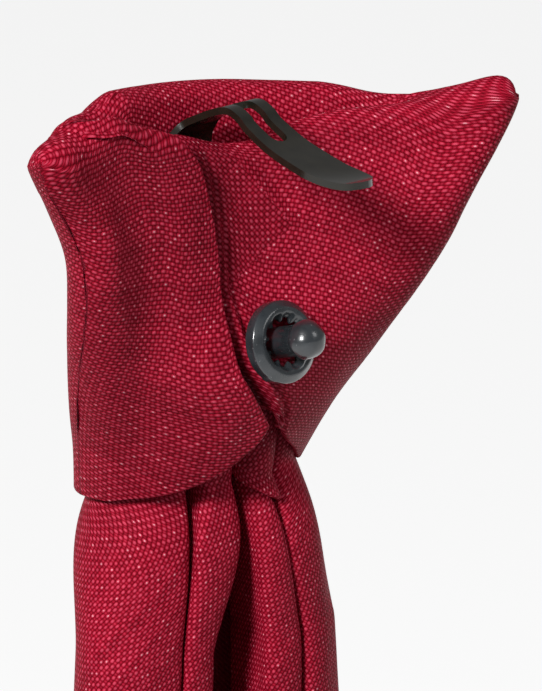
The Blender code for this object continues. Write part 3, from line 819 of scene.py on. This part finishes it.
def make_near_flap(mat, whole, crest_at):
    """The near flap, lapped over the far one, with its folded free edge."""
    flat_whole = turned(*measured(whole, LAP_COLUMN), NEAR_TURN)
    full = knot_creases(whole, "base")[: LAP_COLUMN + 1]
    shares = np.concatenate([np.zeros(len(TURNS)), NEAR_SHARES])
    lift = np.full(len(shares), SKIN_GAP)
    lift[: len(TURNS)] = np.linspace(-SKIN_SINK, SKIN_GAP, len(TURNS))
    lift += (LAP_LIFT - SKIN_GAP) * ease((shares - 0.12) / 0.72)
    full = full + outward(full) * lift[:, None, None]
    thick = np.minimum(KNOT_EDGE, 0.9 * (lift - SKIN_GAP))
    grid, flat = [], []
    rows = np.concatenate([np.linspace(0, 0.12, 14)[:-1], np.linspace(0.12, 1, 70)])
    for points, maps, a in zip(full, flat_whole, shares):
        along = path_length(points)
        start = along[crest_at] + float(column(FLAP_TOP_ROWS, a, 1))
        place = start + (along[-1] - start) * rows
        grid.append(sample(points, along, place))
        flat.append(sample(maps, along, place))
    grid, flat = knot_creases(np.array(grid), "flap"), np.array(flat)
    shell = Shell(grid, flat)
    begin = int(np.argmax(thick > 0.03))
    last, low = len(grid) - 1, grid.shape[1] - 1
    loop = [(i, 0) for i in range(begin, last + 1)]
    loop += [(last, j) for j in range(1, low + 1)]
    loop += [(i, low) for i in range(last - 1, begin - 1, -1)]
    at = tuple(np.array(loop).T)
    edge, skin, flats = grid[at], outward(grid)[at], flat[at]
    out = unit(np.cross(unit(np.gradient(edge, axis=0)), skin))
    out = facing(out, edge - grid[len(grid) // 2, grid.shape[1] // 2])
    flat_run = unit(np.gradient(flats, axis=0))
    flat_out = np.column_stack([flat_run[:, 1], -flat_run[:, 0]])
    flat_out = facing(flat_out, flats - flats.mean(axis=0))
    shell.add(*rolled_edge(edge, out, skin, thick[at[0]], LAP_TUCK, flats, flat_out))
    return shell.build("near_flap_cloth", mat)


# Blade -----------------------------------


def flat_path(share, half, middle):
    """A point on the flat tube: back panel, near fold, front panel, far fold, back."""
    straight = half - TUBE_DEPTH
    sign = 1.0 if share < 0.5 else -1.0
    u = share if share < 0.5 else 1 - share
    panel = 0.25 - TUBE_FOLD
    if u < panel:
        x = TUBE_SLIT + (straight - TUBE_SLIT) * u / panel
        return sign * x, middle + TUBE_DEPTH
    if u > 0.25 + TUBE_FOLD:
        return sign * straight * (0.5 - u) / panel, middle - TUBE_DEPTH
    angle = math.pi * (u - 0.25 + TUBE_FOLD) / (2 * TUBE_FOLD)
    x = straight + TUBE_DEPTH * math.sin(angle)
    return sign * x, middle + TUBE_DEPTH * math.cos(angle)


def blade_section(z, fine):
    """The blade's skin at a height, from one free back edge to the other, and each
    point's share of the way round."""
    table = np.array(FOLD_ROWS)
    count = len(table)
    level = np.clip(z, FOLD_LEVELS[2], FOLD_LEVELS[0])
    rows = [(FOLD_LEVELS[k], *table[:, 2 * k], *table[:, 2 * k + 1]) for k in range(3)]
    folds = []
    for k in range(count):
        x = float(column(rows, level, 1 + k))
        y = float(column(rows, level, 1 + count + k))
        folds.append((x, y, table[k, 6]))
    curve = catmull(folds, [fine] * (count - 1))
    inside = max(0.0, (z - FOLD_LEVELS[0]) / (BLADE_TOP - FOLD_LEVELS[0]))
    squeezed = SQUEEZED_TO + (curve[:, 1] - SQUEEZED_FROM) * SQUEEZE
    curve[:, 0] *= 1 + SPREAD * inside
    curve[:, 1] += (squeezed - curve[:, 1]) * inside
    below = FOLD_LEVELS[2] - z
    opened = float(ease(below / OPENING_LENGTH))
    half = float(column(WIDTH_ROWS, z, 1))
    middle = TUBE_MIDDLE - TUBE_SET_BACK * opened
    grow = 1 + GROWTH * min(1.0, max(0.0, below) / GROWTH_LENGTH)
    out = []
    for x, y, share in curve:
        flat_x, flat_y = flat_path(float(np.clip(share, 0, 1)), half, middle)
        x = x * grow * (1 - opened) + flat_x * opened
        out.append((x, y * (1 - opened) + flat_y * opened))
    return np.array(out), curve[:, 2]


def make_blade(mat):
    """The blade: pleats under the knot that open into the flat, pointed end."""
    pleats = np.linspace(-6.0, -40.0, 58)
    opening = np.linspace(-40.0, -100.0, 41)[1:]
    tube = np.linspace(-100.0, POINT_CORNER, 60)[1:]
    grid = []
    for z in np.concatenate([pleats, opening, tube]):
        section, shares = blade_section(z, 6)
        depth = np.clip((z - POINT_FROM) / (POINT_CORNER - POINT_FROM), 0, 1)
        drop = POINT_HEIGHT * (1 - np.abs(section[:, 0]) / BLADE_HALF_WIDTH) * depth
        grid.append(np.column_stack([section, z - drop]))
    grid = np.array(grid)
    normal = facing(grid_normals(grid), grid - grid.mean(axis=1, keepdims=True))
    grid = grid + normal * BLADE_SKIN
    lengths = np.array([path_length(row) for row in grid])
    inward = ease((shares - 0.30) / 0.40)
    across = lengths - lengths[:, -1:] * inward + lengths[-1, -1] * (inward - 0.5)
    flat = np.stack([across, -grid[:, :, 2]], axis=2)
    shell = Shell(grid, flat)
    shell.fold_sides(grid, normal, flat, BLADE_EDGE, BLADE_TUCK)
    shell.fold_hem(grid, normal, flat, BLADE_EDGE, BLADE_HEM_TUCK)
    return shell.build("blade_cloth", mat)


def make_inner_end(mat):
    """The short inner layer that lies on the pleat beside the centre back."""
    fine = 10
    first, last = (int(fine * (len(FOLD_ROWS) - 1 - back)) for back in (3.25, 1.5))
    grid = []
    for t in np.linspace(0, 1, 40):
        row = []
        for k in range(first, last + 1):
            side = (k - first) / (last - first)
            low = INNER_END_LOW[0] * (1 - side) + INNER_END_LOW[1] * side
            z = INNER_END_TOP + (low - INNER_END_TOP) * t
            section, _ = blade_section(z, fine)
            along = section[k + 1] - section[k - 1]
            out = np.array([-along[1], along[0]]) / np.linalg.norm(along)
            row.append((*(section[k] + out * INNER_SKIN), z))
        grid.append(row)
    grid = np.array(grid)
    across = np.array([path_length(row) for row in grid])
    flat = np.stack([across, -grid[:, :, 2]], axis=2)
    normal = facing(grid_normals(grid), np.array([0.0, 1.0, 0.0]))
    shell = Shell(grid, flat)
    shell.fold_hem(grid, normal, flat, INNER_EDGE, INNER_HEM_TUCK)
    shell.fold_sides(grid, normal, flat, INNER_EDGE, INNER_TUCK)
    return shell.build("inner_end_cloth", mat)


# Fittings --------------------------------


def add_turned(name, profile, segments, closed, shape, mat, sharp):
    """A ring turned about the washer's axis; shape bends each radius."""
    out = np.array(WASHER_OUT)
    out /= np.linalg.norm(out)
    across = np.cross(out, (0, 0, 1.0))
    across /= np.linalg.norm(across)
    up = np.cross(across, out)
    count = len(profile)
    points, faces = [], []
    for k in range(segments):
        angle = 2 * math.pi * k / segments
        ray = across * math.cos(angle) + up * math.sin(angle)
        for radius, height in profile:
            radius = shape(angle, radius, height)
            points.append(WASHER_PLACE + ray * radius + out * height)
        n = (k + 1) % segments
        for j in range(count if closed else count - 1):
            m = (j + 1) % count
            faces.append([k * count + j, n * count + j, n * count + m, k * count + m])
    return add_mesh(name, points, faces, mat, SOLID_WELD, sharp=sharp)


def rounded(profile, radius, steps=4):
    """A closed profile with every corner rounded by an arc-like curve."""
    profile = [np.array(p) for p in profile]
    out = []
    for k, p in enumerate(profile):
        a, b = profile[k - 1], profile[(k + 1) % len(profile)]
        r = min(radius, np.linalg.norm(a - p) * 0.45, np.linalg.norm(b - p) * 0.45)
        start, end = p + unit(a - p) * r, p + unit(b - p) * r
        for t in np.linspace(0, 1, steps + 1):
            out.append((1 - t) ** 2 * start + 2 * t * (1 - t) * p + t * t * end)
    return [tuple(p) for p in out]


def make_washer(mat):
    low, hole, rim = -WASHER_THICKNESS, WASHER_HOLE_RADIUS, WASHER_RADIUS
    profile = (
        (hole, low + 0.9),
        (hole, -0.6),
        (hole + 0.3, -0.42),
        (rim - 1.25, -0.02),
        (rim - 0.75, 0.0),
        (rim, -0.62),
        (rim, low),
        (rim - 0.8, low),
    )
    profile = rounded(profile, WASHER_ROUNDING)

    def shape(angle, radius, height):
        near = 1 - (radius - hole) / (rim - hole)
        lobe = math.cos(WASHER_LOBES * angle) - 0.25 * math.cos(2 * WASHER_LOBES * angle)
        radius += near**3 * WASHER_SCALLOP * lobe
        gate = bump((angle - GATE_ANGLE) / GATE_SPAN) if radius > rim - 0.1 else 0.0
        return radius + GATE_HEIGHT * float(gate)

    return add_turned("washer_moulding", profile, 240, True, shape, mat, 40.0)


def make_pin(mat):
    """The rivet: hidden head, shank, collar and a dome that is slightly out of true."""
    dome = PIN_DOME_RADIUS
    neck = PIN_REACH - dome - 0.35
    profile = [*PIN_FOOT_PROFILE, (PIN_RADIUS, neck - 0.55), (PIN_RADIUS + 0.05, neck - 0.3)]
    profile += [(dome - 0.08, neck), (dome, neck + 0.2)]
    for angle in np.radians(np.linspace(0, 90, 13)):
        profile.append((dome * math.cos(angle), PIN_REACH - dome + dome * math.sin(angle)))

    def shape(angle, radius, height):
        facets = 1 + 0.018 * math.cos(6 * angle + 0.5) + 0.012 * math.cos(3 * angle)
        dent = 1 - 0.05 * float(bump((angle - 2.2) / 0.7)) * float(bump((height - 4.0) / 1.2))
        return radius * (facets if height > neck - 0.3 else 1.0) * dent

    return add_turned("pin_moulding", profile, 96, False, shape, mat, 50.0)


def make_clip(mat):
    """The bent strip with rounded edges, a round-ended slot and a rounded tongue."""
    rows = np.array(CLIP_ROWS)
    curve = catmull(rows, [10] * (len(rows) - 1))
    centre = curve[:, :3]
    length = path_length(centre)
    across = CLIP_ACROSS / np.linalg.norm(CLIP_ACROSS)
    tip = length[-1]
    crest = int(np.argmax(centre[:, 2]))
    slot_start, slot_end = length[crest] - SLOT_BEFORE_CREST, length[crest] + SLOT_PAST_CREST
    run = unit(np.gradient(centre, axis=0))
    normal = unit(np.cross(np.broadcast_to(across, run.shape), run))
    normal *= np.sign(normal[crest, 2])

    def outer_half(at, half):
        """Half width with the tongue's end rounded."""
        past = max(CLIP_END_RADIUS - (tip - at), 0.0)
        if past == 0.0:
            return half
        rest = math.sqrt(max(CLIP_END_RADIUS**2 - past**2, 0.0))
        return half - CLIP_END_RADIUS + rest

    def slot_half(at):
        """Half width of the slot, with its ends rounded."""
        if at <= slot_start or at >= slot_end:
            return 0.0
        from_end = min(at - slot_start, slot_end - at, SLOT_HALF)
        return math.sqrt(SLOT_HALF**2 - (SLOT_HALF - from_end) ** 2)

    quarter = np.linspace(0, math.pi / 2, 9)
    stations = [
        np.linspace(0, tip - CLIP_END_RADIUS, 150),
        tip - CLIP_END_RADIUS * (1 - np.sin(np.linspace(0, math.pi / 2, 14))),
        slot_start + SLOT_HALF * (1 - np.cos(quarter)),
        slot_end - SLOT_HALF * (1 - np.cos(quarter)),
    ]
    stations = np.unique(np.concatenate(stations).round(5))
    base = sample(centre, length, stations)
    normal = unit(sample(normal, length, stations))
    halves = np.interp(stations, length, curve[:, 3])
    bars = 7
    verts = []
    for side in (-1, 1):
        for i, at in enumerate(stations):
            outer = max(outer_half(at, halves[i]), 0.02)
            inner = min(slot_half(at), outer - 0.02)
            reach = min(outer, CLIP_FAR_HALF) if side < 0 else outer
            for j in range(bars):
                x = side * (inner + (reach - inner) * (j / (bars - 1)))
                dish = -CLIP_DISH * bump((at - tip + 3.0) / 4.0) * (1 - (x / 2.8) ** 2)
                verts.append(base[i] + across * x + normal[i] * float(dish))
    verts = np.array(verts).reshape(2, len(stations), bars, 3)
    rise = normal[None, :, None, :] * CLIP_THICKNESS / 2
    count = verts[..., 0].size
    slotted = [slot_half(at) > 0 for at in stations]

    def wall(a, b):
        return [a, b, b + count, a + count]

    faces = []
    for half in np.arange(count).reshape(verts.shape[:3]).tolist():
        for i, (a, b) in enumerate(zip(half, half[1:])):
            for j in range(bars - 1):
                quad = [a[j], b[j], b[j + 1], a[j + 1]]
                faces += [quad, [v + count for v in reversed(quad)]]
            faces.append(wall(a[-1], b[-1]))
            if slotted[i] or slotted[i + 1]:
                faces.append(wall(b[0], a[0]))
        for end in (half[0], half[-1]):
            faces += [wall(a, b) for a, b in zip(end, end[1:])]
    points = np.vstack([(verts + rise).reshape(-1, 3), (verts - rise).reshape(-1, 3)])
    obj = add_mesh("clip_strip", points, faces, mat, SOLID_WELD, sharp=35.0)
    bevel = obj.modifiers.new("edges", "BEVEL")
    bevel.width = CLIP_BEVEL * MM
    bevel.segments = 3
    bevel.limit_method = "ANGLE"
    bevel.angle_limit = math.radians(55)
    bevel.use_clamp_overlap = True
    return obj


# Materials -------------------------------


class Nodes:
    """Small helper that adds and links shader nodes."""

    def __init__(self, mat):
        mat.use_nodes = True
        self.tree = mat.node_tree
        self.shader = self.tree.nodes["Principled BSDF"]
        self.add = partial(self.math, "ADD")
        self.sub = partial(self.math, "SUBTRACT")
        self.mul = partial(self.math, "MULTIPLY")
        self.mad = partial(self.math, "MULTIPLY_ADD")
        self.over = partial(self.math, "GREATER_THAN")

    def settle(self, **values):
        """Values that are the same all over, on the shader's own sockets."""
        for name, value in values.items():
            self.shader.inputs[name.replace("_", " ")].default_value = value

    def put(self, socket, value):
        if hasattr(value, "is_linked"):
            self.tree.links.new(value, socket)
        else:
            socket.default_value = value

    def new(self, kind, *values, **settings):
        """A node with its settings, and with its first inputs in their order."""
        node = self.tree.nodes.new("ShaderNode" + kind)
        for name, value in settings.items():
            setattr(node, name, value)
        for socket, value in zip(node.inputs, values):
            self.put(socket, value)
        return node

    def where(self):
        return self.new("TexCoord").outputs["Object"]

    def math(self, operation, a, b=0.0, c=0.0):
        return self.new("Math", a, b, c, operation=operation).outputs[0]

    def noise(self, vector, scale, detail=2.0, rough=0.5):
        return self.new("TexNoise", vector, 0.0, scale, detail, rough).outputs["Fac"]

    def ramp(self, value, stops):
        node = self.new("ValToRGB", value)
        ramp = node.color_ramp
        while len(ramp.elements) < len(stops):
            ramp.elements.new(0.5)
        for element, (at, colour) in zip(ramp.elements, stops):
            element.position = at
            element.color = (*colour, 1.0)
        return node.outputs["Color"]

    def mix(self, factor, a, b, blend="MIX"):
        node = self.new("Mix", factor, data_type="RGBA", blend_type=blend)
        self.put(node.inputs[6], a)
        self.put(node.inputs[7], b)
        return node.outputs[2]

    def bump(self, height, strength, distance):
        node = self.new("Bump", strength, distance)
        self.put(node.inputs["Height"], height)
        return node.outputs["Normal"]


def yarn_height(n, along, aside, cell, phase, yarn):
    """Height of one set of yarns: a round thread that dips under at each crossing."""
    rest, swing, narrow = yarn
    turn = n.mad(cell, math.pi, phase)
    wave = n.math("SINE", n.mad(along, math.pi, turn))
    off = n.mul(n.sub(n.math("FRACT", aside), 0.5), narrow)
    bow = n.sub(1.0, n.mul(off, off))
    return n.mul(bow, n.mad(wave, swing, rest))


def weave_material(name, turn_degrees, pitch):
    """Plain weave on the bias: two sets of yarns, over and under by turns."""
    mat = bpy.data.materials.new(name)
    n = Nodes(mat)
    place = n.new("Attribute", attribute_name="cloth_mm").outputs["Vector"]
    across, down, mark = n.new("SeparateXYZ", place).outputs
    where = n.where()
    wander = n.noise(where, 260.0, 2.0)
    drift = n.mul(n.sub(wander, 0.5), 0.09)
    u = n.add(across, drift)
    v = n.sub(down, drift)
    drawn = n.math("MAXIMUM", mark, 0.0)
    # The mark's part below 0 is painted shade.
    painted_shadow = n.math("MINIMUM", mark, 0.0)
    bias = n.over(drawn, 0.5)
    angle = n.mad(bias, math.radians(BIAS_TURN), math.radians(turn_degrees))
    cos = n.math("DIVIDE", n.math("COSINE", angle), pitch)
    sin = n.math("DIVIDE", n.math("SINE", angle), pitch)
    p = n.add(n.mul(u, cos), n.mul(v, sin))
    q = n.sub(n.mul(v, cos), n.mul(u, sin))
    p_cell, q_cell = n.math("FLOOR", p), n.math("FLOOR", q)
    warp = yarn_height(n, p, q, q_cell, 0.0, WARP)
    weft = yarn_height(n, q, p, p_cell, math.pi, WEFT)
    height = n.math("MAXIMUM", warp, weft)
    on_top = n.over(warp, weft)
    tints = []
    for cell, seed in ((q_cell, 0.37), (p_cell, 91.7)):
        white = n.new("TexWhiteNoise", noise_dimensions="1D")
        n.put(white.inputs["W"], n.add(cell, seed))
        tints.append(white.outputs["Value"])
    tint = n.add(n.mul(tints[0], on_top), n.mul(tints[1], n.sub(1.0, on_top)))
    cells = n.new("CombineXYZ", n.add(p_cell, 0.5), n.add(q_cell, 0.5)).outputs[0]
    chance = n.new("TexWhiteNoise", cells, noise_dimensions="2D").outputs["Value"]
    raised = n.mad(n.sub(chance, 0.5), 0.14, height)
    # Painted light: the ramp darkens the gaps as shade and lightens the crowns as highlight,
    # over the crimson dye.
    dye_and_light = n.ramp(raised, DYE_AND_PAINTED_LIGHT)
    # Painted highlight: a few floats' crowns are mixed towards GLINT as glints.
    crown = n.mul(n.sub(height, 0.90), 14.0)
    rare = n.mul(n.sub(chance, 0.90), 10.0)
    glint = n.mul(n.math("MAXIMUM", crown, 0.0), n.math("MAXIMUM", rare, 0.0))
    dye_and_light = n.mix(n.math("MINIMUM", glint, 0.55), dye_and_light, GLINT)
    blotch = n.noise(where, 60.0, 3.0)
    shade = n.add(n.mul(tint, 0.34), n.mul(blotch, 0.30))
    # Painted shade: darker where the mark is below 0, and a little darker where the cloth is
    # drawn round on the bias.
    painted_shade = n.mad(bias, -0.14, n.mad(painted_shadow, 0.85, 1.0))
    shade = n.mul(n.add(shade, 0.66), painted_shade)
    grey = n.new("CombineColor", shade, shade, shade).outputs[0]
    n.put(n.shader.inputs["Base Color"], n.mix(1.0, dye_and_light, grey, "MULTIPLY"))
    fibre = n.noise(where, 9000.0, 2.0)
    bumps = n.add(height, n.mul(fibre, 0.16))
    n.put(n.shader.inputs["Normal"], n.bump(bumps, 0.85, 0.00011))
    n.put(n.shader.inputs["Roughness"], n.mad(height, -0.24, 0.66))
    n.settle(Specular_IOR_Level=0.03)
    return mat


def metal_material():
    """Olive-black plated strip: satin faces, glossy rounded edges."""
    mat = bpy.data.materials.new("clip_metal")
    n = Nodes(mat)
    where = n.where()
    cloud = n.noise(where, 700.0, 4.0)
    n.put(n.shader.inputs["Base Color"], n.ramp(cloud, METAL))
    n.put(n.shader.inputs["Roughness"], n.mad(cloud, 0.12, 0.16))
    n.put(n.shader.inputs["Normal"], n.bump(n.noise(where, 6000.0, 3.0), 0.10, 0.00004))
    n.settle(Metallic=0.1, Specular_IOR_Level=0.42, Coat_Weight=0.35, Coat_Roughness=0.05)
    return mat


def plastic_material(name, gloss):
    """Blue-black moulded plastic, with fine scuffs and pale nicks."""
    mat = bpy.data.materials.new(name)
    n = Nodes(mat)
    where = n.where()
    cloud = n.noise(where, 500.0, 4.0)
    nicks = n.over(n.noise(where, 2600.0, 2.0, 0.7), 0.715)
    colour = n.mix(n.mul(nicks, 0.5), n.ramp(cloud, PLASTIC), NICK)
    n.put(n.shader.inputs["Base Color"], colour)
    n.put(n.shader.inputs["Roughness"], n.mad(cloud, 0.25, gloss))
    n.put(n.shader.inputs["Normal"], n.bump(n.noise(where, 3000.0, 3.0), 0.18, 0.00006))
    n.settle(Specular_IOR_Level=0.5, Coat_Weight=0.5, Coat_Roughness=0.07)
    return mat


# Stage -----------------------------------


def add_camera():
    """The photograph's camera, and its unit right, up and back vectors."""
    azimuth, elevation = math.radians(CAMERA_AZIMUTH), math.radians(CAMERA_ELEVATION)
    level = math.cos(elevation)
    back = (math.sin(azimuth) * level, -math.cos(azimuth) * level, math.sin(elevation))
    back = Vector(back)
    right = Vector((0, 0, 1)).cross(back).normalized()
    up = back.cross(right)
    target = CENTRE + right * CAMERA_OFFSET[0] * MM + up * CAMERA_OFFSET[1] * MM
    data = bpy.data.cameras.new("camera")
    data.lens = CAMERA_LENS
    data.sensor_width = 36.0
    data.clip_start = 0.01
    obj = add_to_scene("camera", data)
    turn = Matrix((right, up, back)).transposed().to_4x4()
    obj.matrix_world = Matrix.Translation(target + back * CAMERA_DISTANCE) @ turn
    bpy.context.scene.camera = obj
    return right, up, back


def add_area(name, axes, offset, size, power):
    """A round white lamp aimed at the knot."""
    data = bpy.data.lights.new(name, "AREA")
    data.shape = "DISK"
    data.size = size
    data.energy = power
    obj = add_to_scene(name, data)
    right, up, back = (axis * part for axis, part in zip(axes, offset))
    obj.location = CENTRE + back + right + up
    aim = obj.location - CENTRE
    obj.rotation_euler = aim.to_track_quat("Z", "Y").to_euler()


def add_stage(axes):
    """A pale floor that glows a little and doesn't light the cloth, and two lamps."""
    mesh = bpy.data.meshes.new("floor")
    half, low = FLOOR_HALF, CAD_BOX[0][2] - FLOOR_BELOW
    corners = [(-half, -half, low), (half, -half, low), (half, half, low), (-half, half, low)]
    mesh.from_pydata(corners, [], [(0, 1, 2, 3)])
    pale = bpy.data.materials.new("pale_floor")
    Nodes(pale).settle(
        Base_Color=(0.60, 0.60, 0.60, 1.0),
        Roughness=0.9,
        Emission_Color=(1.0, 1.0, 1.0, 1.0),
        Emission_Strength=FLOOR_GLOW,
    )
    mesh.materials.append(pale)
    floor = add_to_scene("floor", mesh)
    floor.visible_diffuse = False
    world = bpy.data.worlds.new("studio")
    bpy.context.scene.world = world
    world.use_nodes = True
    sky = world.node_tree.nodes["Background"]
    sky.inputs[0].default_value = (1.0, 1.0, 1.0, 1.0)
    sky.inputs[1].default_value = SKY
    add_area("key", axes, KEY_OFFSET, 0.26, 13.5)
    add_area("fill", axes, FILL_OFFSET, 0.5, 2.0)
    view = bpy.context.scene.view_settings
    view.view_transform = "Standard"
    view.look = "None"


def main():
    add_stage(add_camera())
    knot_cloth = weave_material("knot_bias_weave", 45.0, KNOT_YARN)
    blade_cloth = weave_material("blade_bias_weave", 55.0, BLADE_YARN)
    black = plastic_material("washer_plastic", 0.13)
    pin_black = plastic_material("pin_plastic", 0.18)
    metal = metal_material()
    knot = knot_grid()
    wrap = make_knot_wrap(knot_cloth, *knot)
    flap = make_near_flap(knot_cloth, *knot)
    blade = make_blade(blade_cloth)
    inner = make_inner_end(blade_cloth)
    clip = make_clip(metal)
    washer = make_washer(black)
    pin = make_pin(pin_black)
    stands_for = (
        (wrap, "knot_wrap", "crimson_weave"),
        (flap, "knot_wrap", "crimson_weave"),
        (blade, "blade", "crimson_weave"),
        (inner, "inner_end", "crimson_weave"),
        (clip, "clip_hook", "dark_clip_metal"),
        (washer, "washer", "black_plastic"),
        (pin, "pin", "black_plastic"),
    )
    for piece, node, slot in stands_for:
        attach(piece, "root")
        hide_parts(node)


main()
